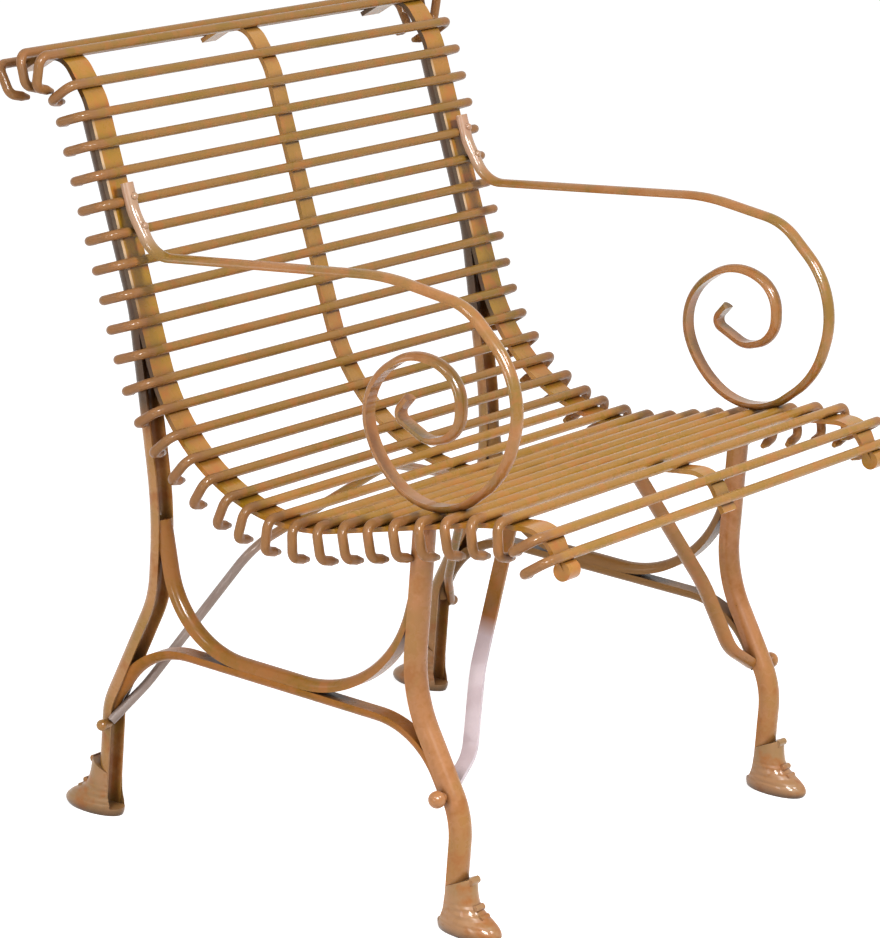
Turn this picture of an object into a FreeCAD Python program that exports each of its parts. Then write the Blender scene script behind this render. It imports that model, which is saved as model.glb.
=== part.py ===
import FreeCAD, Part
import math
import os
import Sketcher
from FreeCAD import Placement, Rotation, Vector

# Garden armchair of bent iron: round rods with hooked ends lie on three bent straps,
# carried by hollow half-round legs with hoof feet, U cradles, arched stretchers and scroll arms.
# The chair faces -Y, +Z is up and the floor is at zero height.
# Left and right are those of a viewer who stands in front, so the left side is at -X.

doc = FreeCAD.newDocument("GardenArmchair")
sheet = doc.addObject("Spreadsheet::Sheet", "Sizes")

SIZES = {
    # spacing of the two side frames, measured to the middle of a side bar
    "side_offset": 287.5,
    # rods of the seat and back
    "rod_diameter": 10,
    "rod_half_length": 327,
    "lip_rod_station": 12.7,
    "nose_rod_station": 34.2,
    "seat_first_station": 74.5,
    "seat_rod_pitch": 31,
    "seat_rod_count": 11,
    "back_first_station": 410,
    "back_rod_pitch": 30.4,
    "back_rod_count": 16,
    "last_back_rod_station": 900.8,
    "shoulder_rod_station": 924.1,
    "crest_rod_station": 952.7,
    "lip_hook_angle": 54,
    "nose_hook_angle": 54,
    "last_back_hook_angle": 5,
    "shoulder_hook_angle": -18,
    "crest_hook_angle": -32,
    "top_rod_half_length": 342,
    "hook_drop": 32,
    "hook_bend": 10,
    "hook_curl": 9,
    "hook_reach": 16,
    "hook_lean": 4,
    "hook_taper": 9,
    "hook_tip_diameter": 5.5,
    # flat straps under the rods
    "side_strap_width": 32,
    "side_strap_thickness": 5,
    "center_strap_width": 23,
    "center_strap_thickness": 5,
    "nose_roll_diameter": 19,
    "nose_width": 18.5,
    "nose_taper_height": 424,
    "nose_taper_depth": 22,
    # hollow half-round legs
    "leg_width": 24,
    "leg_wall": 2,
    "leg_flange": 5,
    "front_leg_top_gap": 0.1,
    # round rivet heads on the outer side of the legs
    "front_rivet_diameter": 17.5,
    "front_rivet_station": 133,
    "rear_rivet_diameter": 12,
    "rear_rivet_station": 93,
    "rivet_neck_diameter": 10,
    "rivet_set_back": 6,
    "rivet_standoff": 11,
    # half-round bars of the cradles and stretchers, which fit inside the legs
    "bar_side_fit": 0.35,
    "bar_face_fit": 0.1,
    "bar_flange": 1.35,
    "bar_nest": 7.5,
    "stretcher_front_nest": 2,
    # arched brace and tie between the side frames, under the middle of the seat
    "brace_width": 18,
    "brace_station": 208,
    "tie_diameter": 10,
    "tie_top_back": 75.6,
    "tie_top_height": 349,
    "tie_foot_back": 190.5,
    "tie_foot_height": 104,
    "brace_end_fit": 0.2,
    # scroll arms
    "arm_width": 16,
    "arm_top_station": 762,
    "arm_heel_station": 732,
    "arm_rod_fit": 0.1,
    # hoof feet
    "foot_height": 58,
    "sole_thickness": 8,
    "foot_leg_fit": 0.1,
    "collar_slope": 26,
    "foot_roll_length": 14,
}

# Bend corners of each bar seen from the side: distance back, height and bend radius.
BENDS = {
    "strap": (
        (-342.2, 392, 0),
        (-318, 428, 30),
        (-256.7, 420, 390),
        (97.1, 323.8, 199),
        (261.9, 742, 60),
        (293, 780, 25),
        (326, 773.5, 40),
        (349.5, 756.6, 0),
    ),
    "rear_leg": (
        (200, 8.1, 0),
        (200, 120.4, 60),
        (148.5, 247, 110),
        (149.5, 336, 450),
        (193.75, 538.8, 150),
        (268.2, 727.5, 0),
    ),
    "front_leg": (
        (-247.2, 8.1, 0),
        (-247.2, 116, 90),
        (-178.5, 229, 150),
        (-178.5, 404, 0),
    ),
    "cradle": (
        (143, 330, 0),
        (110.2, 204.5, 100),
        (-147, 204.5, 125),
        (-172, 337, 0),
    ),
    "stretcher": (
        (193.5, 108, 0),
        (193.5, 125.4, 25),
        (151, 193.4, 90),
        (-186, 193.4, 90),
        (-232, 130, 0),
    ),
    "arm": (
        (227, 698, 0),
        (211.6, 659.3, 60),
        (173.5, 596.3, 36),
        (-110.7, 633, 224),
        (-207.8, 622.4, 65),
        (-283.4, 556.8, 96),
        (-265.3, 464.7, 91),
        (-189.2, 398.5, 74),
        (-116.7, 445.6, 105),
        (-82.9, 516.4, 60),
        (-153.1, 570.8, 56),
        (-208.1, 549.1, 40),
        (-212, 493.5, 31),
        (-172.7, 479.9, 25),
        (-130.8, 499.1, 10),
        (-146.5, 520, 0),
    ),
}

# Right halves of the arched front brace and rear tie, each seen square to its own plane, as share
# of the way out to the side bar, drop and bend radius. The brace has a flat top, the tie a peak.
ARCHES = {
    "brace": (
        (0.344, 0, 60),
        (0.714, 155, 150),
        (0.8275, 233, 40),
        (1.078, 279, 0),
    ),
    "tie": (
        (0, 0, 80),
        (0.666, 65, 60),
        (0.925, 229, 60),
        (1.0435, 270, 0),
    ),
}

# Outline of a foot from the floor up: height, toe shift, half length and half width.
FOOT_SECTIONS = (
    (0, 15, 34, 18),
    (8, 15.5, 36, 20),
    (16, 12, 31, 18.5),
    (26, 6, 22.5, 16.5),
    (40, 3, 18, 15.5),
    (58, 2, 16, 14.5),
)

# Rolls across the toe side of a foot from the top down: distance to the toe, height and diameter.
FOOT_ROLLS = (
    (16, 55, 8),
    (24.5, 29, 7),
    (31.5, 21, 6),
)


def fill_sheet():
    row = 1
    cells = dict(SIZES)
    for bar, corners in BENDS.items():
        for index, (back, up, bend) in enumerate(corners, 1):
            cells[f"{bar}_{index}_back"] = back
            cells[f"{bar}_{index}_up"] = up
            cells[f"{bar}_{index}_bend"] = bend
    for arch, corners in ARCHES.items():
        for index, (share, drop, bend) in enumerate(corners, 1):
            cells[f"{arch}_{index}_share"] = share
            cells[f"{arch}_{index}_drop"] = drop
            cells[f"{arch}_{index}_bend"] = bend
    for index, (height, shift, half_length, half_width) in enumerate(FOOT_SECTIONS, 1):
        cells[f"foot_{index}_height"] = height
        cells[f"foot_{index}_shift"] = shift
        cells[f"foot_{index}_half_length"] = half_length
        cells[f"foot_{index}_half_width"] = half_width
    for index, (reach, height, diameter) in enumerate(FOOT_ROLLS, 1):
        cells[f"roll_{index}_reach"] = reach
        cells[f"roll_{index}_height"] = height
        cells[f"roll_{index}_diameter"] = diameter
    for alias, value in cells.items():
        sheet.set(f"A{row}", alias)
        sheet.set(f"B{row}", str(value))
        sheet.setAlias(f"B{row}", alias)
        row += 1
    doc.recompute()


def size(alias):
    return float(sheet.get(alias))


def value_of(expression):
    return float(sheet.evalExpression(expression))


fill_sheet()


# Geometry of a bent bar: straight runs joined by tangent arcs

class Bend:
    def __init__(self, before, corner, after, radius):
        run_in = (corner - before).normalize()
        run_out = (after - corner).normalize()
        turn = math.acos(max(-1.0, min(1.0, run_in.dot(run_out))))
        side = 1 if run_in.cross(run_out).z > 0 else -1
        reach = radius * math.tan(turn / 2)
        inward = Vector(-run_in.y, run_in.x, 0) * side
        self.radius = radius
        self.side = side
        self.turn = turn
        self.start = corner - run_in * reach
        self.end = corner + run_out * reach
        self.center = self.start + inward * radius


def corner_names(bar):
    return [f"{bar}_{index}" for index in range(1, len(BENDS[bar]) + 1)]


def bar_corners(bar):
    return [(f"Sizes.{name}_back", f"Sizes.{name}_up", f"Sizes.{name}_bend") for name in corner_names(bar)]


def corner_points(corners):
    return [Vector(value_of(across), value_of(up), 0) for across, up, bend in corners]


def bends_between(corners):
    points = corner_points(corners)
    bends = []
    for index in range(1, len(points) - 1):
        radius = value_of(corners[index][2])
        bends.append(Bend(points[index - 1], points[index], points[index + 1], radius))
    return points, bends


def station_on(corners, station):
    """Point and direction at a distance along the bent line."""
    points, bends = bends_between(corners)
    here = points[0]
    left = station
    for bend in bends:
        run = (bend.start - here).Length
        heading = (bend.start - here).normalize()
        if left <= run:
            return here + heading * left, heading
        left -= run
        arc = bend.radius * bend.turn
        if left <= arc:
            angle = math.degrees(left / bend.radius) * bend.side
            spin = Rotation(Vector(0, 0, 1), angle)
            return bend.center + spin.multVec(bend.start - bend.center), spin.multVec(heading)
        left -= arc
        here = bend.end
    heading = (points[-1] - here).normalize()
    return here + heading * left, heading


def above(heading):
    return Vector(-heading.y, heading.x, 0)


# Sketches

def origin_plane(body, role):
    return next(item for item in body.Origin.OriginFeatures if item.Role == role)


def new_sketch(body, name, role, offset=None):
    sketch = body.newObject("Sketcher::SketchObject", name)
    sketch.AttachmentSupport = (origin_plane(body, role), [""])
    sketch.MapMode = "FlatFace"
    if offset is not None:
        sketch.AttachmentOffset = offset
    return sketch


def bound(sketch, constraint, name, expression):
    index = sketch.addConstraint(constraint)
    sketch.renameConstraint(index, name)
    sketch.setExpression(f"Constraints.{name}", expression)


def place_point(sketch, geometry, vertex, name, across, up):
    point = sketch.getPoint(geometry, vertex)
    bound(sketch, Sketcher.Constraint("DistanceX", -1, 1, geometry, vertex, point.x), f"{name}_x", across)
    bound(sketch, Sketcher.Constraint("DistanceY", -1, 1, geometry, vertex, point.y), f"{name}_y", up)


def draw_bent_line(sketch, corners):
    points, bends = bends_between(corners)
    lines = []
    arcs = []
    here = points[0]
    for bend in bends:
        lines.append(sketch.addGeometry(Part.LineSegment(here, bend.start), False))
        first = math.atan2(bend.start.y - bend.center.y, bend.start.x - bend.center.x)
        last = math.atan2(bend.end.y - bend.center.y, bend.end.x - bend.center.x)
        if bend.side < 0:
            first, last = last, first
        circle = Part.Circle(bend.center, Vector(0, 0, 1), bend.radius)
        arcs.append(sketch.addGeometry(Part.ArcOfCircle(circle, first, last), False))
        here = bend.end
    lines.append(sketch.addGeometry(Part.LineSegment(here, points[-1]), False))
    for index, bend in enumerate(bends):
        arc_in, arc_out = (1, 2) if bend.side > 0 else (2, 1)
        sketch.addConstraint(Sketcher.Constraint("Tangent", lines[index], 2, arcs[index], arc_in))
        sketch.addConstraint(Sketcher.Constraint("Tangent", arcs[index], arc_out, lines[index + 1], 1))
    for index, bend in enumerate(bends):
        across, up, radius = corners[index + 1]
        corner = sketch.addGeometry(Part.Point(points[index + 1]), True)
        sketch.addConstraint(Sketcher.Constraint("PointOnObject", corner, 1, lines[index]))
        sketch.addConstraint(Sketcher.Constraint("PointOnObject", corner, 1, lines[index + 1]))
        place_point(sketch, corner, 1, f"corner_{index + 2}", across, up)
        bound(sketch, Sketcher.Constraint("Radius", arcs[index], bend.radius), f"bend_{index + 2}", radius)
    place_point(sketch, lines[0], 1, "start", corners[0][0], corners[0][1])
    place_point(sketch, lines[-1], 2, "finish", corners[-1][0], corners[-1][1])


def section_offset(corners, view):
    """Plane square to the start of a line that lies in the given view of the chair."""
    points = corner_points(corners)
    heading = (points[1] - points[0]).normalize()
    if view == "YZ_Plane":
        start = Vector(0, points[0].x, points[0].y)
        along = Vector(0, heading.x, heading.y)
        across = Vector(1, 0, 0)
    else:
        start = Vector(points[0].x, 0, points[0].y)
        along = Vector(heading.x, 0, heading.y)
        across = Vector(0, 1, 0)
    return Placement(start, Rotation(across, along.cross(across), along, "ZXY"))


def rectangle_section(sketch, width, depth):
    half_width = value_of(width) / 2
    half_depth = value_of(depth) / 2
    ends = ((-1, -1), (1, -1), (1, 1), (-1, 1))
    points = [Vector(x * half_width, y * half_depth, 0) for x, y in ends]
    for index in range(4):
        sketch.addGeometry(Part.LineSegment(points[index], points[(index + 1) % 4]), False)
    for index in range(4):
        sketch.addConstraint(Sketcher.Constraint("Coincident", index, 2, (index + 1) % 4, 1))
    sketch.addConstraint(Sketcher.Constraint("Horizontal", 0))
    sketch.addConstraint(Sketcher.Constraint("Vertical", 1))
    sketch.addConstraint(Sketcher.Constraint("Horizontal", 2))
    sketch.addConstraint(Sketcher.Constraint("Vertical", 3))
    sketch.addConstraint(Sketcher.Constraint("Symmetric", 0, 1, 2, 1, -1, 1))
    bound(sketch, Sketcher.Constraint("DistanceX", 0, 1, 0, 2, 2 * half_width), "width", width)
    bound(sketch, Sketcher.Constraint("DistanceY", 1, 1, 1, 2, 2 * half_depth), "depth", depth)


def half_round_section(sketch, width, round_side, flange="0"):
    """Half disc, with straight edges of the flange's height, centered on the path."""
    radius = value_of(width) / 2
    edge = value_of(flange)
    flat = -round_side * (radius + edge) / 2
    middle = flat + round_side * edge
    circle = Part.Circle(Vector(0, middle, 0), Vector(0, 0, 1), radius)
    first, last = (0, math.pi) if round_side > 0 else (math.pi, 2 * math.pi)
    right_end, left_end = (1, 2) if round_side > 0 else (2, 1)
    sketch.addGeometry(Part.ArcOfCircle(circle, first, last), False)
    sketch.addGeometry(Part.LineSegment(Vector(-radius, flat, 0), Vector(radius, flat, 0)), False)
    if edge > 0:
        sketch.addGeometry(Part.LineSegment(Vector(-radius, middle, 0), Vector(-radius, flat, 0)), False)
        sketch.addGeometry(Part.LineSegment(Vector(radius, middle, 0), Vector(radius, flat, 0)), False)
        sketch.addConstraint(Sketcher.Constraint("Coincident", 0, left_end, 2, 1))
        sketch.addConstraint(Sketcher.Constraint("Coincident", 0, right_end, 3, 1))
        sketch.addConstraint(Sketcher.Constraint("Coincident", 2, 2, 1, 1))
        sketch.addConstraint(Sketcher.Constraint("Coincident", 3, 2, 1, 2))
        sketch.addConstraint(Sketcher.Constraint("Vertical", 2))
        sketch.addConstraint(Sketcher.Constraint("Vertical", 3))
        sketch.addConstraint(Sketcher.Constraint("Symmetric", 2, 1, 3, 1, 0, 3))
    else:
        sketch.addConstraint(Sketcher.Constraint("Coincident", 0, left_end, 1, 1))
        sketch.addConstraint(Sketcher.Constraint("Coincident", 0, right_end, 1, 2))
        sketch.addConstraint(Sketcher.Constraint("PointOnObject", 0, 3, 1))
    sketch.addConstraint(Sketcher.Constraint("Horizontal", 1))
    sketch.addConstraint(Sketcher.Constraint("PointOnObject", 0, 3, -2))
    bound(sketch, Sketcher.Constraint("Radius", 0, radius), "radius", f"({width}) / 2")
    bound(
        sketch,
        Sketcher.Constraint("DistanceY", -1, 1, 1, 1, flat),
        "flat",
        f"{-round_side} * (({width}) / 2 + {flange}) / 2",
    )


def channel_section(sketch, round_side):
    """Hollow half-round with straight flanges, open away from its round side."""
    outer = size("leg_width") / 2
    inner = outer - size("leg_wall")
    flange = size("leg_flange")
    side = round_side
    mouth = -side * (outer + flange) / 2
    center = mouth + side * flange
    first, last = (0, math.pi) if side > 0 else (math.pi, 2 * math.pi)
    axis = Vector(0, 0, 1)
    middle = Vector(0, center, 0)
    outer_arc = Part.ArcOfCircle(Part.Circle(middle, axis, outer), first, last)
    inner_arc = Part.ArcOfCircle(Part.Circle(middle, axis, inner), first, last)
    right_end, left_end = (1, 2) if side > 0 else (2, 1)
    sketch.addGeometry(outer_arc, False)
    sketch.addGeometry(inner_arc, False)
    for x in (outer, inner, -outer, -inner):
        sketch.addGeometry(Part.LineSegment(Vector(x, center, 0), Vector(x, mouth, 0)), False)
    for x in (1, -1):
        lip = Part.LineSegment(Vector(x * outer, mouth, 0), Vector(x * inner, mouth, 0))
        sketch.addGeometry(lip, False)
    joins = ((0, right_end, 2), (1, right_end, 3), (0, left_end, 4), (1, left_end, 5))
    for arc, vertex, line in joins:
        sketch.addConstraint(Sketcher.Constraint("Tangent", arc, vertex, line, 1))
    for line, lip, vertex in ((2, 6, 1), (3, 6, 2), (4, 7, 1), (5, 7, 2)):
        sketch.addConstraint(Sketcher.Constraint("Coincident", line, 2, lip, vertex))
    sketch.addConstraint(Sketcher.Constraint("Vertical", 2))
    sketch.addConstraint(Sketcher.Constraint("Horizontal", 6))
    sketch.addConstraint(Sketcher.Constraint("Horizontal", 7))
    sketch.addConstraint(Sketcher.Constraint("Vertical", 4))
    sketch.addConstraint(Sketcher.Constraint("Coincident", 0, 3, 1, 3))
    sketch.addConstraint(Sketcher.Constraint("PointOnObject", 0, 3, -2))
    bound(sketch, Sketcher.Constraint("Radius", 0, outer), "outer", "Sizes.leg_width / 2")
    bound(sketch, Sketcher.Constraint("Radius", 1, inner), "inner", "Sizes.leg_width / 2 - Sizes.leg_wall")
    bound(
        sketch,
        Sketcher.Constraint("DistanceY", -1, 1, 0, 3, center),
        "center",
        f"{side} * (Sizes.leg_flange - Sizes.leg_width / 2) / 2",
    )
    bound(
        sketch,
        Sketcher.Constraint("DistanceY", -1, 1, 6, 1, mouth),
        "mouth",
        f"{-side} * (Sizes.leg_flange + Sizes.leg_width / 2) / 2",
    )


def circle_section(sketch, diameter):
    sketch.addGeometry(Part.Circle(Vector(0, 0, 0), Vector(0, 0, 1), value_of(diameter) / 2), False)
    sketch.addConstraint(Sketcher.Constraint("Coincident", 0, 3, -1, 1))
    bound(sketch, Sketcher.Constraint("Diameter", 0, value_of(diameter)), "diameter", diameter)


def new_body(label):
    body = doc.addObject("PartDesign::Body", label)
    body.Label = label
    return body


def sweep(body, corners, draw_section, *section_sizes, view="YZ_Plane"):
    path = new_sketch(body, body.Name + "_path", view)
    draw_bent_line(path, corners)
    section = new_sketch(body, body.Name + "_section", "XY_Plane", section_offset(corners, view))
    draw_section(section, *section_sizes)
    pipe = body.newObject("PartDesign::AdditivePipe", body.Name + "_bar")
    pipe.Profile = section
    pipe.Spine = path
    return pipe


def set_sideways(body, side):
    body.setExpression(".Placement.Base.x", f"{side} * Sizes.side_offset")


def lean_at(point, heading):
    """Placement of a piece that stands square on a bent line."""
    angle = math.degrees(math.atan2(heading.y, heading.x))
    return Placement(Vector(0, point.x, point.y), Rotation(Vector(1, 0, 0), angle))


SIDES = (("left", -1), ("right", 1))
STRAP = bar_corners("strap")


def draw_ring(sketch, points):
    first = len(sketch.Geometry)
    count = len(points)
    for index in range(count):
        sketch.addGeometry(Part.LineSegment(points[index], points[(index + 1) % count]), False)
    for index in range(count):
        last = first + (index + 1) % count
        sketch.addConstraint(Sketcher.Constraint("Coincident", first + index, 2, last, 1))


# Straps, the side pair with a narrow nose that ends in a small roll

def side_strap(label, side):
    body = new_body(label)
    sweep(body, STRAP, rectangle_section, "Sizes.side_strap_width", "Sizes.side_strap_thickness")
    nose = corner_points(STRAP)[0]
    cut = new_sketch(body, label + "_nose_cut", "XZ_Plane", Placement(Vector(0, 0, -nose.x), Rotation()))
    wide = size("side_strap_width") / 2
    slim = size("nose_width") / 2
    high = size("nose_taper_height")
    for hand in (-1, 1):
        low = nose.y - wide
        outline = ((slim, low), (slim, nose.y), (wide, high), (wide * 2, high), (wide * 2, low))
        draw_ring(cut, [Vector(hand * x, z, 0) for x, z in outline])
    trim = body.newObject("PartDesign::Pocket", label + "_nose_trim")
    trim.Profile = cut
    trim.Midplane = True
    trim.setExpression("Length", "2 * Sizes.nose_taper_depth")
    roll = new_sketch(body, label + "_roll", "YZ_Plane")
    roll.addGeometry(Part.Circle(nose, Vector(0, 0, 1), size("nose_roll_diameter") / 2), False)
    place_point(roll, 0, 3, "middle", "Sizes.strap_1_back", "Sizes.strap_1_up")
    roll_size = "Sizes.nose_roll_diameter"
    bound(roll, Sketcher.Constraint("Diameter", 0, size("nose_roll_diameter")), "roll", roll_size)
    pad = body.newObject("PartDesign::Pad", label + "_nose")
    pad.Profile = roll
    pad.Midplane = True
    pad.setExpression("Length", "Sizes.nose_width")
    set_sideways(body, side)


def center_strap(label):
    body = new_body(label)
    sweep(body, STRAP, rectangle_section, "Sizes.center_strap_width", "Sizes.center_strap_thickness")


# Legs, with the front pair cut off along the underside of the strap

def rivet_head(body, leg, side, round_side):
    """Round head on a short neck, on the outer side of a leg near its open edge."""
    end = leg.split("_")[0]
    point, heading = station_on(bar_corners(leg), size(f"{end}_rivet_station"))
    middle = point + above(heading) * round_side * size("rivet_set_back")
    inside = (size("leg_width") - size("leg_wall")) / 2
    center = inside + size("rivet_standoff")
    outward = Rotation(Vector(0, 1, 0), side * 90)
    neck = body.newObject("PartDesign::AdditiveCylinder", body.Name + "_rivet_neck")
    neck.AttachmentSupport = (origin_plane(body, "XY_Plane"), [""])
    neck.MapMode = "FlatFace"
    neck.AttachmentOffset = Placement(Vector(side * inside, middle.x, middle.y), outward)
    neck.setExpression("Radius", "Sizes.rivet_neck_diameter / 2")
    neck.setExpression("Height", "Sizes.rivet_standoff")
    head = body.newObject("PartDesign::AdditiveSphere", body.Name + "_rivet_head")
    head.AttachmentSupport = (origin_plane(body, "XY_Plane"), [""])
    head.MapMode = "FlatFace"
    head.AttachmentOffset = Placement(Vector(side * center, middle.x, middle.y), outward)
    head.setExpression("Radius", f"Sizes.{end}_rivet_diameter / 2")


def rear_leg(label, side):
    body = new_body(label)
    sweep(body, bar_corners("rear_leg"), channel_section, 1)
    rivet_head(body, "rear_leg", side, 1)
    set_sideways(body, side)


def front_leg(label, side):
    body = new_body(label)
    sweep(body, bar_corners("front_leg"), channel_section, -1)
    seat = corner_points(STRAP)[2:4]
    fall = (seat[1] - seat[0]).normalize()
    drop = size("side_strap_thickness") / 2 + size("front_leg_top_gap")
    low = seat[0] - above(fall) * drop
    far = seat[1] - above(fall) * drop
    lift = above(fall) * size("leg_width") * 2
    cut = new_sketch(body, label + "_top_cut", "YZ_Plane")
    draw_ring(cut, (low, far, far + lift, low + lift))
    trim = body.newObject("PartDesign::Pocket", label + "_trim")
    trim.Profile = cut
    trim.Midplane = True
    trim.setExpression("Length", "2 * Sizes.leg_width")
    rivet_head(body, "front_leg", side, -1)
    set_sideways(body, side)


# Half-round bars whose ends lie in the hollow of the legs, flat side against the metal

BAR_WIDTH = "Sizes.leg_width - 2 * Sizes.leg_wall - 2 * Sizes.bar_side_fit"
BAR_DEPTH = f"(({BAR_WIDTH}) / 2 + Sizes.bar_flange)"
NEST = f"((Sizes.leg_width / 2 + Sizes.leg_flange) / 2 - Sizes.bar_nest + {BAR_DEPTH} / 2)"


def on_front_leg(height):
    """Distance back of the stretcher at a height on the sloped run of the front leg."""
    low, high = corner_points(bar_corners("front_leg"))[1:3]
    slope = (high - low).normalize()
    middle = high.x + (height - high.y) * slope.x / slope.y
    set_back = value_of(f"{NEST} + Sizes.bar_nest - Sizes.stretcher_front_nest")
    return str(middle + set_back / slope.y)


def cradle(label, side):
    corners = bar_corners("cradle")
    corners[0] = (f"Sizes.rear_leg_4_back - {NEST}",) + corners[0][1:]
    corners[3] = (f"Sizes.front_leg_3_back + {NEST}",) + corners[3][1:]
    body = new_body(label)
    sweep(body, corners, half_round_section, BAR_WIDTH, 1, "Sizes.bar_flange")
    set_sideways(body, side)


def stretcher(label, side):
    corners = bar_corners("stretcher")
    under_cradle = f"Sizes.cradle_2_up - {BAR_DEPTH} - Sizes.bar_face_fit"
    rear = f"Sizes.rear_leg_1_back - {NEST}"
    corners[0] = (rear,) + corners[0][1:]
    corners[1] = (rear,) + corners[1][1:]
    corners[2] = (corners[2][0], under_cradle, corners[2][2])
    corners[3] = (on_front_leg(value_of(under_cradle)), under_cradle, corners[3][2])
    corners[4] = (on_front_leg(size("stretcher_5_up")),) + corners[4][1:]
    body = new_body(label)
    sweep(body, corners, half_round_section, BAR_WIDTH, -1, "Sizes.bar_flange")
    set_sideways(body, side)


# Arched brace and tie, each one bar from side frame to side frame

def arch_corners(arch, flat_top):
    count = len(ARCHES[arch])
    half = []
    for index in range(1, count + 1):
        out = f"Sizes.side_offset * Sizes.{arch}_{index}_share"
        half.append((out, f"-Sizes.{arch}_{index}_drop", f"Sizes.{arch}_{index}_bend"))
    mirrored = half if flat_top else half[1:]
    return [("-" + out, drop, bend) for out, drop, bend in reversed(mirrored)] + half


def front_brace(label):
    """Half-round arch under the middle strap, cut off square at the inner faces of the legs."""
    body = new_body(label)
    sweep(body, arch_corners("brace", True), half_round_section, "Sizes.brace_width", -1, view="XZ_Plane")
    face = size("side_offset") - size("leg_width") / 2 - size("brace_end_fit")
    outside = size("side_offset") * 2
    low = -2 * size("brace_4_drop")
    cut = new_sketch(body, label + "_end_cut", "XZ_Plane")
    for side in (-1, 1):
        outline = ((face, low), (outside, low), (outside, 0), (face, 0))
        draw_ring(cut, [Vector(side * x, z, 0) for x, z in outline])
    trim = body.newObject("PartDesign::Pocket", label + "_trim")
    trim.Profile = cut
    trim.Midplane = True
    trim.setExpression("Length", "4 * Sizes.brace_width")
    point, heading = station_on(STRAP, size("brace_station"))
    drop = size("center_strap_thickness") / 2 + size("brace_width") / 4
    body.Placement = lean_at(point - above(heading) * drop, heading)


def rear_tie(label):
    """Round arch with flared ends, cut off flat against the open sides of the rear legs."""
    body = new_body(label)
    sweep(body, arch_corners("tie", False), circle_section, "Sizes.tie_diameter", view="XZ_Plane")
    top = Vector(size("tie_top_back"), size("tie_top_height"), 0)
    foot_point = Vector(size("tie_foot_back"), size("tie_foot_height"), 0)
    up = (top - foot_point).normalize()
    place = lean_at(top, Vector(up.y, -up.x, 0))
    mouth = size("rear_leg_1_back") - (size("leg_width") / 2 + size("leg_flange")) / 2 - size("brace_end_fit")
    reach = size("side_offset")
    outline = []
    for back, height in ((mouth, 0), (mouth + reach, 0), (mouth + reach, reach), (mouth, reach)):
        corner = place.inverse().multVec(Vector(0, back, height))
        outline.append(Vector(corner.y, corner.z, 0))
    cut = new_sketch(body, label + "_end_cut", "YZ_Plane")
    draw_ring(cut, outline)
    trim = body.newObject("PartDesign::Pocket", label + "_trim")
    trim.Profile = cut
    trim.Midplane = True
    trim.setExpression("Length", "3 * Sizes.side_offset")
    body.Placement = place


# Scroll arms, resting on the rods at the back and at the seat

def on_rods(station):
    point, heading = station_on(STRAP, size(station))
    lift = size("side_strap_thickness") / 2 + size("rod_diameter") + size("arm_width") / 4
    place = point + above(heading) * (lift + size("arm_rod_fit"))
    return str(place.x), str(place.y)


def arm(label, side):
    corners = bar_corners("arm")
    corners[0] = on_rods("arm_top_station") + corners[0][2:]
    corners[1] = on_rods("arm_heel_station") + corners[1][2:]
    body = new_body(label)
    sweep(body, corners, half_round_section, "Sizes.arm_width", 1)
    set_sideways(body, side)


# Rods with a hook at each end, square to the strap

def rod(label, station, hook_angle=None, half_length="rod_half_length"):
    leg_of_hook = f"Sizes.{half_length} - Sizes.rod_diameter / 2"
    tip = f"{leg_of_hook} - Sizes.hook_reach"
    corners = [
        ("0", "0", "0"),
        (leg_of_hook, "0", "Sizes.hook_bend"),
        (leg_of_hook, "-Sizes.hook_drop", "Sizes.hook_curl"),
        (tip, "-Sizes.hook_drop - Sizes.hook_lean", "0"),
    ]
    body = new_body(label)
    bar = sweep(body, corners, circle_section, "Sizes.rod_diameter", view="XZ_Plane")
    points = corner_points(corners)
    heading = (points[3] - points[2]).normalize()
    point = body.newObject("PartDesign::AdditiveCone", label + "_tip")
    point.AttachmentSupport = (origin_plane(body, "XY_Plane"), [""])
    point.MapMode = "FlatFace"
    turn = Rotation(Vector(0, 0, 1), Vector(heading.x, 0, heading.y))
    point.AttachmentOffset = Placement(Vector(points[3].x, 0, points[3].y), turn)
    point.setExpression("Radius1", "Sizes.rod_diameter / 2")
    point.setExpression("Radius2", "Sizes.hook_tip_diameter / 2")
    point.setExpression("Height", "Sizes.hook_taper")
    both = body.newObject("PartDesign::Mirrored", label + "_ends")
    both.Originals = [bar, point]
    both.MirrorPlane = (origin_plane(body, "YZ_Plane"), [""])
    body.Tip = both
    middle, heading = station_on(STRAP, station)
    lift = (size("side_strap_thickness") + size("rod_diameter")) / 2
    seat = middle + above(heading) * lift
    if hook_angle is not None:
        turn = math.radians(size(hook_angle))
        heading = Vector(math.cos(turn), math.sin(turn), 0)
    body.Placement = lean_at(seat, heading)


# Hoof feet: a lofted hoof with small rolls, open behind so that the leg stands on the sole

def ellipse(label, half_length, half_width, height, shift):
    outline = doc.addObject("Part::Ellipse", label)
    outline.setExpression("MajorRadius", half_length)
    outline.setExpression("MinorRadius", half_width)
    outline.Placement = Placement(Vector(0, shift, height), Rotation(Vector(0, 0, 1), 90))
    return outline


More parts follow.
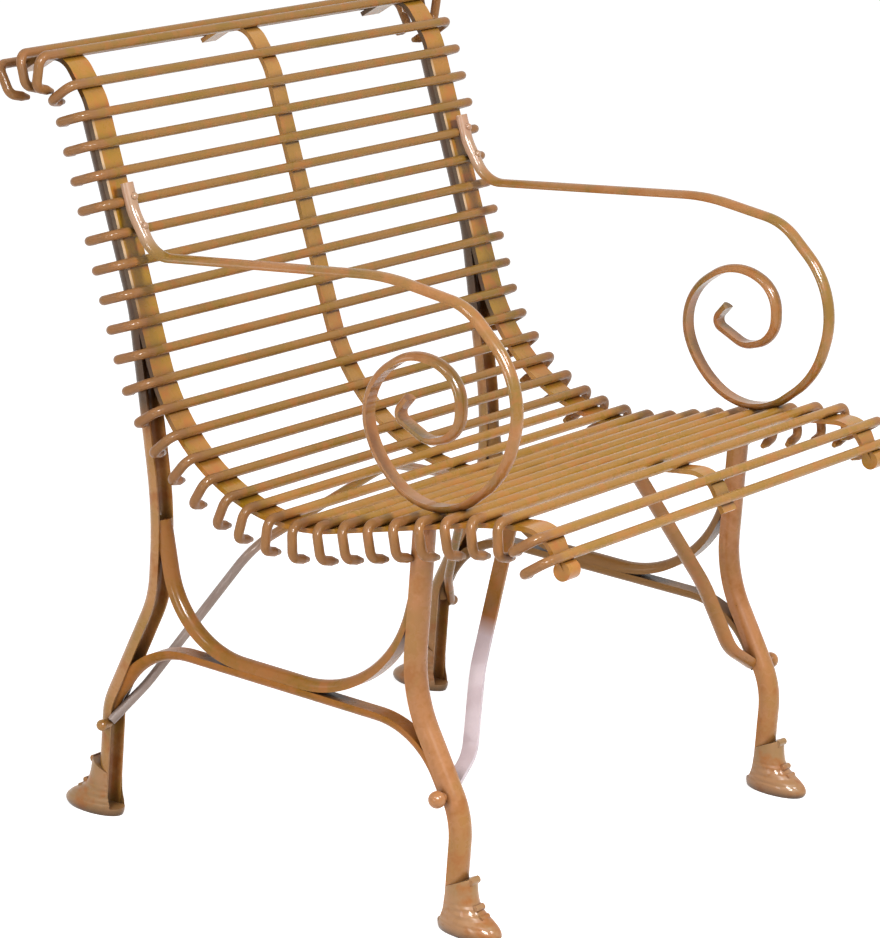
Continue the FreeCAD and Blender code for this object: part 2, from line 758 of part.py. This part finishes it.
def foot_casting(label):
    sections = []
    for index in range(1, len(FOOT_SECTIONS) + 1):
        name = f"foot_{index}"
        half_length = f"Sizes.{name}_half_length"
        half_width = f"Sizes.{name}_half_width"
        height = size(name + "_height")
        sections.append(ellipse(f"{label}_{index}", half_length, half_width, height, size(name + "_shift")))
    hoof = doc.addObject("Part::Loft", label + "_hoof")
    hoof.Sections = sections
    hoof.Solid = True
    rolls = []
    for index in range(1, len(FOOT_ROLLS) + 1):
        roll = doc.addObject("Part::Cylinder", f"{label}_roll_{index}")
        roll.setExpression("Radius", f"Sizes.roll_{index}_diameter / 2")
        roll.setExpression("Height", "Sizes.foot_roll_length")
        left = Vector(-size("foot_roll_length") / 2, size(f"roll_{index}_reach"), size(f"roll_{index}_height"))
        roll.Placement = Placement(left, Rotation(Vector(0, 1, 0), 90))
        rolls.append(roll)
    casting = doc.addObject("Part::MultiFuse", label + "_casting")
    casting.Shapes = [hoof] + rolls
    return casting


def foot_hollow(label):
    """Room for the leg above the sole, and everything above the sloped top of the collar."""
    sole = size("sole_thickness")
    length = size("foot_2_half_length")
    width = size("leg_width") / 2 + size("foot_leg_fit")
    middle = (size("leg_flange") - size("leg_width") / 2) / 2
    crown = doc.addObject("Part::Cylinder", label + "_crown_room")
    crown.setExpression("Radius", "Sizes.leg_width / 2 + Sizes.foot_leg_fit")
    crown.setExpression("Height", "2 * Sizes.foot_height")
    crown.Placement = Placement(Vector(0, middle, sole), Rotation())
    mouth = doc.addObject("Part::Box", label + "_mouth_room")
    mouth.setExpression("Length", "Sizes.leg_width + 2 * Sizes.foot_leg_fit")
    mouth.setExpression("Width", "Sizes.foot_2_half_length")
    mouth.setExpression("Height", "2 * Sizes.foot_height")
    mouth.Placement = Placement(Vector(-width, middle - length, sole), Rotation())
    top = doc.addObject("Part::Box", label + "_top_slope")
    top.setExpression("Length", "4 * Sizes.leg_width")
    top.setExpression("Width", "4 * Sizes.leg_width")
    top.setExpression("Height", "Sizes.foot_height")
    slope = Rotation(Vector(1, 0, 0), size("collar_slope"))
    toe = size("roll_1_reach")
    edge = Vector(-2 * size("leg_width"), toe, size("foot_height"))
    top.Placement = Placement(edge - slope.multVec(Vector(0, 4 * size("leg_width"), 0)), slope)
    room = doc.addObject("Part::MultiFuse", label + "_room")
    room.Shapes = [crown, mouth, top]
    return room


def foot(label, side, leg, toe):
    whole = doc.addObject("Part::Cut", label)
    whole.Base = foot_casting(label)
    whole.Tool = foot_hollow(label)
    whole.Label = label
    whole.Placement = Placement(Vector(0, 0, 0), Rotation(Vector(0, 0, 1), 0 if toe > 0 else 180))
    whole.setExpression(".Placement.Base.x", f"{side} * Sizes.side_offset")
    whole.setExpression(".Placement.Base.y", f"Sizes.{leg}_1_back")
    return whole


def row_of_rods(row):
    first = size(f"{row}_first_station")
    return [first + index * size(f"{row}_rod_pitch") for index in range(round(size(f"{row}_rod_count")))]


feet = []
for name, side in SIDES:
    side_strap(f"side_strap_{name}", side)
    rear_leg(f"rear_leg_{name}", side)
    front_leg(f"front_leg_{name}", side)
    cradle(f"side_cradle_{name}", side)
    stretcher(f"side_stretcher_{name}", side)
    arm(f"scroll_arm_{name}", side)
    feet.append(foot(f"front_foot_{name}", side, "front_leg", -1))
    feet.append(foot(f"rear_foot_{name}", side, "rear_leg", 1))
center_strap("center_strap")
front_brace("front_brace")
rear_tie("rear_tie")
for row in ("seat", "back"):
    for number, station in enumerate(row_of_rods(row), 1):
        rod(f"{row}_rod_{number:02d}", station)
for name in ("lip", "nose"):
    rod(f"{name}_rod", size(f"{name}_rod_station"), f"{name}_hook_angle")
last_back_rod = f"back_rod_{round(size('back_rod_count')) + 1:02d}"
for label, name in ((last_back_rod, "last_back"), ("shoulder_rod", "shoulder"), ("crest_rod", "crest")):
    rod(label, size(f"{name}_rod_station"), f"{name}_hook_angle", "top_rod_half_length")

doc.recompute()
for item in doc.Objects:
    if "Invalid" in item.State or "Error" in item.State:
        raise RuntimeError(f"{item.Label} did not build: {item.State}")
pieces = [item for item in doc.Objects if item.TypeId == "PartDesign::Body"] + feet
for piece in pieces:
    if piece.Shape.isNull() or not piece.Shape.isValid() or len(piece.Shape.Solids) != 1:
        raise RuntimeError(f"{piece.Label} has no sound solid")
os.makedirs("parts", exist_ok=True)
for piece in pieces:
    piece.Shape.exportStep(f"parts/{piece.Label}.step")
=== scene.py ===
import math

import bmesh
import bpy
from mathutils import Matrix, Vector


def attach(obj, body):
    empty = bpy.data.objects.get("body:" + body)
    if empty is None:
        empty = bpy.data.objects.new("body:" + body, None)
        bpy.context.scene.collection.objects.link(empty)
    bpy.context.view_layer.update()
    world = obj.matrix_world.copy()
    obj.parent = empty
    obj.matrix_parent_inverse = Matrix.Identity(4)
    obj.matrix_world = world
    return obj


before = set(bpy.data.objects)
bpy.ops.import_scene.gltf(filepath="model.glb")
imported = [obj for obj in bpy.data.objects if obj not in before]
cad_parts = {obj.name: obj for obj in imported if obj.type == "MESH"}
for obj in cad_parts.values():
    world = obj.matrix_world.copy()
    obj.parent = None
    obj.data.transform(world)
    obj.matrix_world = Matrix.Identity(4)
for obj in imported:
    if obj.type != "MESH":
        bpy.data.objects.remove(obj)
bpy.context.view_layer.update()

print("stage: frame loaded")

# Camera at the photograph's angle, in metres and in the frame of the model.
cameraSettings = {
    "place": (-3.50706, -2.41756, 1.57353),
    "right": (0.58405, -0.80873, 0.06958),
    "up": (0.18368, 0.21517, 0.95915),
    "back": (-0.79066, -0.54741, 0.27422),
    "sensor": 36.0,
    "lens": 173.75,
    "near": 0.1,
    "far": 50,
}


def makeCamera(settings):
    data = bpy.data.cameras.new("photoCamera")
    data.sensor_fit = "HORIZONTAL"
    data.sensor_width = settings["sensor"]
    data.lens = settings["lens"]
    data.clip_start = settings["near"]
    data.clip_end = settings["far"]
    camera = bpy.data.objects.new("photoCamera", data)
    bpy.context.scene.collection.objects.link(camera)
    axes = Matrix((settings["right"], settings["up"], settings["back"])).transposed()
    camera.matrix_world = Matrix.Translation(settings["place"]) @ axes.to_4x4()
    bpy.context.scene.camera = camera


makeCamera(cameraSettings)

# Studio light: a soft key high in front, lower soft lights on the left side, a weak one behind
# and a panel that shows in the gloss alone. Each is aimed at a height on the chair's middle line.
lightSettings = (
    {"name": "keyLight", "place": (0, -2.2, 2.6), "aim": 0.4, "size": 0.8, "power": 50},
    {"name": "sideLight", "place": (-2.4, 0, 2.4), "aim": 0.4, "size": 0.7, "power": 16},
    {"name": "cornerLight", "place": (-1.8, -2.0, 2.2), "aim": 0.4, "size": 0.5, "power": 13},
    {"name": "lowLight", "place": (-3.2, -0.2, 0.7), "aim": 0.3, "size": 0.8, "power": 14},
    {"name": "rimLight", "place": (-2.4, 2.4, 1.4), "aim": 0.4, "size": 1.0, "power": 7},
    {"name": "glossPanel", "place": (-2.2, -2.1, 2.5), "aim": 0.4, "size": 1.2, "power": 200, "glossOnly": True},
)


def makeLight(settings):
    data = bpy.data.lights.new(settings["name"], "AREA")
    data.shape = "DISK"
    data.size = settings["size"]
    data.energy = settings["power"]
    light = bpy.data.objects.new(settings["name"], data)
    bpy.context.scene.collection.objects.link(light)
    place = Vector(settings["place"])
    turn = (Vector((0, 0, settings["aim"])) - place).to_track_quat("-Z", "Y")
    light.matrix_world = Matrix.Translation(place) @ turn.to_matrix().to_4x4()
    light.visible_diffuse = not settings.get("glossOnly", False)


for settings in lightSettings:
    makeLight(settings)


# The highest of three kinds of ray: straight from the camera, in a gloss, or through glass.
def seenDirectly(nodes, links):
    path = nodes.new("ShaderNodeLightPath")
    most = path.outputs["Is Camera Ray"]
    for kind in ("Is Glossy Ray", "Is Transmission Ray"):
        either = nodes.new("ShaderNodeMath")
        either.operation = "MAXIMUM"
        links.new(most, either.inputs[0])
        links.new(path.outputs[kind], either.inputs[1])
        most = either.outputs["Value"]
    return most


# White to the camera and in gloss, but a calmer light on the paint itself.
worldSettings = {"colour": (1, 1, 1, 1), "seen": 1.0, "lit": 0.25}


def makeWorld(settings):
    world = bpy.data.worlds.new("studio")
    world.use_nodes = True
    nodes = world.node_tree.nodes
    links = world.node_tree.links
    nodes.clear()
    output = nodes.new("ShaderNodeOutputWorld")
    mix = nodes.new("ShaderNodeMixShader")
    for number, share in ((1, "lit"), (2, "seen")):
        sky = nodes.new("ShaderNodeBackground")
        sky.inputs["Color"].default_value = settings["colour"]
        sky.inputs["Strength"].default_value = settings[share]
        links.new(sky.outputs["Background"], mix.inputs[number])
    links.new(seenDirectly(nodes, links), mix.inputs["Fac"])
    links.new(mix.outputs["Shader"], output.inputs["Surface"])
    bpy.context.scene.world = world


makeWorld(worldSettings)
bpy.context.scene.view_settings.view_transform = "Standard"

# Floor: white where it is seen, apart from the soft shadow at the feet, and a little darker for bounced light.
floorSettings = {
    "half": 6.0,
    "bounce": (0.7, 0.69, 0.68, 1),
    "matt": (0.9, 0.9, 0.9, 1),
    "white": 0.8,
}


def makeFloor(settings):
    sheet = bmesh.new()
    bmesh.ops.create_grid(sheet, x_segments=1, y_segments=1, size=settings["half"])
    mesh = bpy.data.meshes.new("floor")
    sheet.to_mesh(mesh)
    sheet.free()
    floor = bpy.data.objects.new("floor", mesh)
    bpy.context.scene.collection.objects.link(floor)
    material = bpy.data.materials.new("floorWhite")
    material.use_nodes = True
    nodes = material.node_tree.nodes
    links = material.node_tree.links
    nodes.clear()
    output = nodes.new("ShaderNodeOutputMaterial")
    bounce = nodes.new("ShaderNodeBsdfDiffuse")
    matt = nodes.new("ShaderNodeBsdfDiffuse")
    white = nodes.new("ShaderNodeEmission")
    shown = nodes.new("ShaderNodeAddShader")
    mix = nodes.new("ShaderNodeMixShader")
    bounce.inputs["Color"].default_value = settings["bounce"]
    matt.inputs["Color"].default_value = settings["matt"]
    white.inputs["Strength"].default_value = settings["white"]
    links.new(matt.outputs["BSDF"], shown.inputs[0])
    links.new(white.outputs["Emission"], shown.inputs[1])
    links.new(seenDirectly(nodes, links), mix.inputs["Fac"])
    links.new(bounce.outputs["BSDF"], mix.inputs[1])
    links.new(shown.outputs["Shader"], mix.inputs[2])
    links.new(mix.outputs["Shader"], output.inputs["Surface"])
    mesh.materials.append(material)


makeFloor(floorSettings)
print("stage: camera, light and floor")

# Noise in the paint: scale, detail and roughness, and between which values each shows.
grainSettings = {
    "patches": {"noise": (16, 4, 0.6), "span": (0.44, 0.62)},
    "warmth": {"noise": (47, 3, 0.6), "span": (0.5, 0.66)},
    "grain": {"noise": (420, 3, 0.6)},
    "chips": {"noise": (150, 5, 0.7), "span": (0.7, 0.76)},
    # the painted shade in the hollows: where it starts and is full, and its samples
    "hollowSpan": (0.9, 0.25),
    "hollowSamples": 8,
    "glossSpan": (0.3, 0.7),
    "glossiest": -0.07,
    "dullest": 0.12,
    "coatRoughness": 0.06,
    "grainHeight": 0.35,
    "bumpStrength": 0.22,
    "bumpDistance": 0.0006,
}

# Painted iron: an ochre base with olive patches and warmer spots, small chips, and painted shade in the hollows.
# Spans give the places, in metres, from where a second colour starts to where it is full.
rodPaint = {
    "base": (0.4, 0.2, 0.052),
    "patch": (0.345, 0.188, 0.032),
    "warm": (0.455, 0.185, 0.044),
    "chip": (0.13, 0.07, 0.03),
    "roughness": 0.24,
    "shine": 0.12,
    "coat": 0.2,
    # painted shade: darker paint where the surface is closed in, in corners and gaps
    "hollow": {"colour": (0.04, 0.02, 0.008), "reach": 0.012, "share": 0.8},
    "hookShade": {"colour": (0.38, 0.17, 0.07), "share": 0.7, "span": (0.297, 0.306)},  # browner hooks, painted shade and dark reflection
}
barPaint = {
    "base": (0.42, 0.195, 0.053),
    "patch": (0.34, 0.18, 0.03),
    "warm": (0.48, 0.18, 0.042),
    "chip": (0.12, 0.065, 0.03),
    "roughness": 0.27,
    "shine": 0.2,
    "coat": 0.35,
    # painted shade: darker paint where the surface is closed in, in corners and gaps
    "hollow": {"colour": (0.035, 0.018, 0.008), "reach": 0.02, "share": 0.85},
}
paintSettings = {
    "backRodPaint": rodPaint,
    "seatRodPaint": {
        **rodPaint,
        "base": (0.5, 0.247, 0.058),
        "patch": (0.435, 0.227, 0.036),
        "warm": (0.53, 0.225, 0.052),
    },
    "strapPaint": {
        **barPaint,
        "base": (0.57, 0.25, 0.037),
        "patch": (0.48, 0.25, 0.015),
        "warm": (0.6, 0.205, 0.034),
        # painted shade: darker paint where the surface is closed in, in corners and gaps
        "hollow": {"colour": (0.04, 0.02, 0.008), "reach": 0.01, "share": 0.7},
        # painted highlight: a pale line along the outer edge of the back, and painted shade: the narrow sides
        # are dark
        "edge": {
            "colour": (0.9, 0.62, 0.36),
            "middle": 0.2875,
            "span": (-0.0118, -0.0128),
            "Z": ((0.53, 0.57), (0.735, 0.705)),
        },
        # painted shade on the narrow sides
        "flankShade": {"colour": (0.055, 0.027, 0.011), "share": 0.85, "turn": (0.7, 0.9), "Z": (0.42, 0.46)},
    },
    "middleStrapPaint": {
        **barPaint,
        "base": (0.6, 0.29, 0.062),
        "patch": (0.48, 0.25, 0.03),
        "warm": (0.62, 0.235, 0.05),
    },
    "armPaint": {
        **barPaint,
        "base": (0.51, 0.22, 0.066),
        "coat": 0.5,
        # painted highlight: pale at the upper end
        "tint": {"colour": (0.7, 0.45, 0.33), "share": 0.55, "Y": (0.165, 0.18), "Z": (0.597, 0.617)},
    },
    "cradlePaint": {
        **barPaint,
        "base": (0.45, 0.18, 0.043),
        "patch": (0.37, 0.17, 0.024),
        "shine": 0.12,
        "coat": 0.25,
        # painted shade: browner on the right side
        "tint": {"colour": (0.3, 0.155, 0.048), "share": 0.8, "X": (-0.05, 0.05)},
    },
    "stretcherPaint": {
        **barPaint,
        "base": (0.5, 0.18, 0.032),
        "patch": (0.37, 0.15, 0.012),
        "shine": 0.08,
        "coat": 0.12,
        # painted shade: browner on the right side
        "tint": {"colour": (0.32, 0.175, 0.06), "share": 0.8, "X": (-0.05, 0.05)},
    },
    "frontLegPaint": {**barPaint, "base": (0.58, 0.248, 0.088), "patch": (0.5, 0.23, 0.06)},
    "rearLegPaint": {
        **barPaint,
        "base": (0.56, 0.262, 0.085),
        "patch": (0.45, 0.23, 0.05),
        # painted shade: dark behind the straps
        "tint": {"colour": (0.06, 0.028, 0.011), "share": 0.85, "Z": (0.42, 0.45)},
    },
    "bracePaint": {
        **barPaint,
        "base": (0.47, 0.195, 0.05),
        "patch": (0.4, 0.18, 0.035),
        # pale on the lower left run
        "tint": {"colour": (0.85, 0.72, 0.77), "share": 1, "X": (-0.13, -0.18), "Z": (0.283, 0.266)},
    },
    "tiePaint": {
        **barPaint,
        # pale on the left run
        "tint": {"colour": (0.43, 0.33, 0.285), "share": 1, "X": (-0.15, -0.19), "Z": (0.34, 0.27)},
    },
    "castingPaint": {
        **barPaint,
        "base": (0.53, 0.272, 0.12),
        "patch": (0.43, 0.24, 0.086),
        "chip": (0.1, 0.055, 0.03),
        "roughness": 0.34,
        # fine turned lines around the lower half of the hoof
        "rings": {"pitch": 0.0068, "bottom": (0.01, 0.013), "top": (0.034, 0.03), "depth": 5},
    },
}


def socketIn(node, name):
    return next(item for item in node.inputs if item.name == name and item.enabled)


def rampBetween(nodes, start, full):
    ramp = nodes.new("ShaderNodeMapRange")
    ramp.inputs["From Min"].default_value = start
    ramp.inputs["From Max"].default_value = full
    return ramp


def grow(nodes, links, value, start, full):
    ramp = rampBetween(nodes, start, full)
    links.new(value, ramp.inputs["Value"])
    return ramp.outputs["Result"]


def makeNoise(nodes, links, place, scale, detail, rough):
    noise = nodes.new("ShaderNodeTexNoise")
    noise.inputs["Scale"].default_value = scale
    noise.inputs["Detail"].default_value = detail
    noise.inputs["Roughness"].default_value = rough
    links.new(place.outputs["Object"], noise.inputs["Vector"])
    return noise.outputs["Fac"]


def makeMath(nodes, links, operation, *values):
    node = nodes.new("ShaderNodeMath")
    node.operation = operation
    for socket, value in zip(node.inputs, values):
        if isinstance(value, (int, float)):
            socket.default_value = value
        else:
            links.new(value, socket)
    return node.outputs["Value"]


def mixColour(nodes, links, factor, first, second):
    mix = nodes.new("ShaderNodeMix")
    mix.data_type = "RGBA"
    links.new(factor, socketIn(mix, "Factor"))
    for side, colour in (("A", first), ("B", second)):
        socket = socketIn(mix, side)
        if isinstance(colour, tuple):
            socket.default_value = (*colour, 1)
        else:
            links.new(colour, socket)
    return next(item for item in mix.outputs if item.enabled)


# Colour by place: the arms' painted highlight, the painted shade on the far rails and upper rear legs, and the
# paler runs of the brace and tie.
def addTintAndPaintedLight(nodes, links, axes, coat, tint):
    share = tint["share"]
    for axis in [axis for axis in ("X", "Y", "Z") if axis in tint]:
        reached = grow(nodes, links, axes.outputs[axis], *tint[axis])
        share = makeMath(nodes, links, "MULTIPLY", reached, share)
    return mixColour(nodes, links, share, coat, tint["colour"])


# Painted shade and dark reflection: browner paint on the hooks at the outer sides of the rods.
def addHookShade(nodes, links, axes, coat, hookShade):
    outward = makeMath(nodes, links, "ABSOLUTE", axes.outputs["X"])
    outward = grow(nodes, links, outward, *hookShade["span"])
    outward = makeMath(nodes, links, "MULTIPLY", outward, hookShade["share"])
    return mixColour(nodes, links, outward, coat, hookShade["colour"])


# Painted highlight: a pale line along the outer edge of each side strap's front.
def addEdgeHighlight(nodes, links, axes, coat, edge):
    side = makeMath(nodes, links, "SIGN", axes.outputs["X"])
    middle = makeMath(nodes, links, "MULTIPLY", side, edge["middle"])
    across = makeMath(nodes, links, "SUBTRACT", axes.outputs["X"], middle)
    edgeHighlight = grow(nodes, links, across, *edge["span"])
    for span in edge["Z"]:
        reached = grow(nodes, links, axes.outputs["Z"], *span)
        edgeHighlight = makeMath(nodes, links, "MULTIPLY", edgeHighlight, reached)
    return mixColour(nodes, links, edgeHighlight, coat, edge["colour"])


# Painted shade: darker paint on faces that turn sideways, above a height.
def addFlankShade(nodes, links, axes, coat, flankShade):
    facing = nodes.new("ShaderNodeNewGeometry")
    turned = nodes.new("ShaderNodeSeparateXYZ")
    links.new(facing.outputs["True Normal"], turned.inputs["Vector"])
    sideways = makeMath(nodes, links, "ABSOLUTE", turned.outputs["X"])
    sideways = grow(nodes, links, sideways, *flankShade["turn"])
    sideways = makeMath(nodes, links, "MULTIPLY", sideways, flankShade["share"])
    upper = grow(nodes, links, axes.outputs["Z"], *flankShade["Z"])
    sideways = makeMath(nodes, links, "MULTIPLY", sideways, upper)
    return mixColour(nodes, links, sideways, coat, flankShade["colour"])


# Painted shade: darkens the paint where the surface is closed in, in corners, gaps and recesses.
def addHollowShade(nodes, links, coat, hollow):
    shelter = nodes.new("ShaderNodeAmbientOcclusion")
    shelter.samples = grainSettings["hollowSamples"]
    shelter.inputs["Distance"].default_value = hollow["reach"]
    shade = rampBetween(nodes, *grainSettings["hollowSpan"])
    shade.inputs["To Max"].default_value = hollow["share"]
    links.new(shelter.outputs["AO"], shade.inputs["Value"])
    return mixColour(nodes, links, shade.outputs["Result"], coat, hollow["colour"])


def addRings(nodes, links, axes, height, rings):
    wave = makeMath(nodes, links, "MULTIPLY", axes.outputs["Z"], math.tau / rings["pitch"])
    wave = makeMath(nodes, links, "SINE", wave)
    top = grow(nodes, links, axes.outputs["Z"], *rings["top"])
    bottom = grow(nodes, links, axes.outputs["Z"], *rings["bottom"])
    band = makeMath(nodes, links, "MULTIPLY", top, bottom)
    wave = makeMath(nodes, links, "MULTIPLY", wave, band)
    wave = makeMath(nodes, links, "MULTIPLY", wave, rings["depth"])
    return makeMath(nodes, links, "ADD", wave, height)


def makePaint(name, settings):
    material = bpy.data.materials.new(name)
    material.use_nodes = True
    nodes = material.node_tree.nodes
    links = material.node_tree.links
    nodes.clear()
    output = nodes.new("ShaderNodeOutputMaterial")
    surface = nodes.new("ShaderNodeBsdfPrincipled")
    place = nodes.new("ShaderNodeTexCoord")
    axes = nodes.new("ShaderNodeSeparateXYZ")
    links.new(place.outputs["Object"], axes.inputs["Vector"])
    noises = {}
    shares = {}
    for kind in ("patches", "warmth", "grain", "chips"):
        noises[kind] = makeNoise(nodes, links, place, *grainSettings[kind]["noise"])
        if "span" in grainSettings[kind]:
            shares[kind] = grow(nodes, links, noises[kind], *grainSettings[kind]["span"])
    # colour, from the base up to the painted shade in the hollows
    coat = mixColour(nodes, links, shares["patches"], settings["base"], settings["patch"])
    coat = mixColour(nodes, links, shares["warmth"], coat, settings["warm"])
    # painted highlight and painted shade by place, painted shade on the hooks, painted highlight on the strap
    # edges, painted shade on their sides
    for part, addPart in (("tint", addTintAndPaintedLight), ("hookShade", addHookShade), ("edge", addEdgeHighlight), ("flankShade", addFlankShade)):
        if part in settings:
            coat = addPart(nodes, links, axes, coat, settings[part])
    coat = mixColour(nodes, links, shares["chips"], coat, settings["chip"])
    # painted shade in corners and gaps
    coat = addHollowShade(nodes, links, coat, settings["hollow"])
    links.new(coat, surface.inputs["Base Color"])
    # gloss
    gloss = rampBetween(nodes, *grainSettings["glossSpan"])
    gloss.inputs["To Min"].default_value = settings["roughness"] + grainSettings["glossiest"]
    gloss.inputs["To Max"].default_value = settings["roughness"] + grainSettings["dullest"]
    links.new(noises["warmth"], gloss.inputs["Value"])
    links.new(gloss.outputs["Result"], surface.inputs["Roughness"])
    surface.inputs["Specular IOR Level"].default_value = settings["shine"]
    surface.inputs["Coat Weight"].default_value = settings["coat"]
    surface.inputs["Coat Roughness"].default_value = grainSettings["coatRoughness"]
    # relief
    height = makeMath(
        nodes, links, "MULTIPLY_ADD", noises["grain"], grainSettings["grainHeight"], noises["warmth"]
    )
    if "rings" in settings:
        height = addRings(nodes, links, axes, height, settings["rings"])
    bump = nodes.new("ShaderNodeBump")
    bump.inputs["Strength"].default_value = grainSettings["bumpStrength"]
    bump.inputs["Distance"].default_value = grainSettings["bumpDistance"]
    links.new(height, bump.inputs["Height"])
    links.new(bump.outputs["Normal"], surface.inputs["Normal"])
    links.new(surface.outputs["BSDF"], output.inputs["Surface"])
    return material


# Which paint a node gets, by the start of its name. All others are rods of the back.
paintOf = {
    "seat_rod": "seatRodPaint",
    "nose_rod": "seatRodPaint",
    "lip_rod": "seatRodPaint",
    "side_strap": "strapPaint",
    "center_strap": "middleStrapPaint",
    "scroll_arm": "armPaint",
    "side_cradle": "cradlePaint",
    "side_stretcher": "stretcherPaint",
    "front_leg": "frontLegPaint",
    "rear_leg": "rearLegPaint",
    "front_brace": "bracePaint",
    "rear_tie": "tiePaint",
    "front_foot": "castingPaint",
    "rear_foot": "castingPaint",
}
paints = {name: makePaint(name, settings) for name, settings in paintSettings.items()}
for name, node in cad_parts.items():
    kind = next((kind for kind in paintOf if name.startswith(kind)), None)
    paint = paints[paintOf.get(kind, "backRodPaint")]
    if not node.material_slots:
        node.data.materials.append(paint)
    for slot in node.material_slots:
        slot.material = paint
print("stage: paint on", len(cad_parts), "nodes")

# Two domed rivet heads on each arm, where its upper end crosses a rod of the back.
# Spots and axes are in the plane of the arm, as Y and Z. The profile is radius and height.
rivetSettings = {
    "side": 0.2875,
    "places": (
        {"spot": (0.2046, 0.6526), "axis": (-0.93, 0.37)},
        {"spot": (0.1895, 0.6251), "axis": (-0.81, 0.58)},
    ),
    "profile": (
        (0, -0.002),
        (0.0042, -0.002),
        (0.0042, 0.0001),
        (0.0039, 0.0008),
        (0.0033, 0.0018),
        (0.0024, 0.0027),
        (0.0012, 0.0032),
        (0, 0.0034),
    ),
    "turns": 28,
    "merge": 0.00001,
}


def makeRivet(name, side, place, settings):
    shape = bmesh.new()
    points = [shape.verts.new((radius, 0, height)) for radius, height in settings["profile"]]
    for first, second in zip(points, points[1:]):
        shape.edges.new((first, second))
    bmesh.ops.spin(
        shape,
        geom=shape.verts[:] + shape.edges[:],
        cent=(0, 0, 0),
        axis=(0, 0, 1),
        angle=math.tau,
        steps=settings["turns"],
        use_merge=True,
    )
    bmesh.ops.remove_doubles(shape, verts=shape.verts[:], dist=settings["merge"])
    bmesh.ops.recalc_face_normals(shape, faces=shape.faces[:])
    for face in shape.faces:
        face.smooth = True
    outward = Vector((0, *place["axis"])).normalized()
    turn = Vector((0, 0, 1)).rotation_difference(outward).to_matrix().to_4x4()
    move = Matrix.Translation((side, *place["spot"]))
    bmesh.ops.transform(shape, matrix=move @ turn, verts=shape.verts[:])
    mesh = bpy.data.meshes.new(name)
    shape.to_mesh(mesh)
    shape.free()
    mesh.materials.append(paints["armPaint"])
    rivet = bpy.data.objects.new(name, mesh)
    bpy.context.scene.collection.objects.link(rivet)
    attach(rivet, "root")


for number, place in enumerate(rivetSettings["places"], 1):
    for hand, sign in (("Left", -1), ("Right", 1)):
        makeRivet(f"armRivet{hand}{number}", sign * rivetSettings["side"], place, rivetSettings)
print("stage: rivets on the arms")
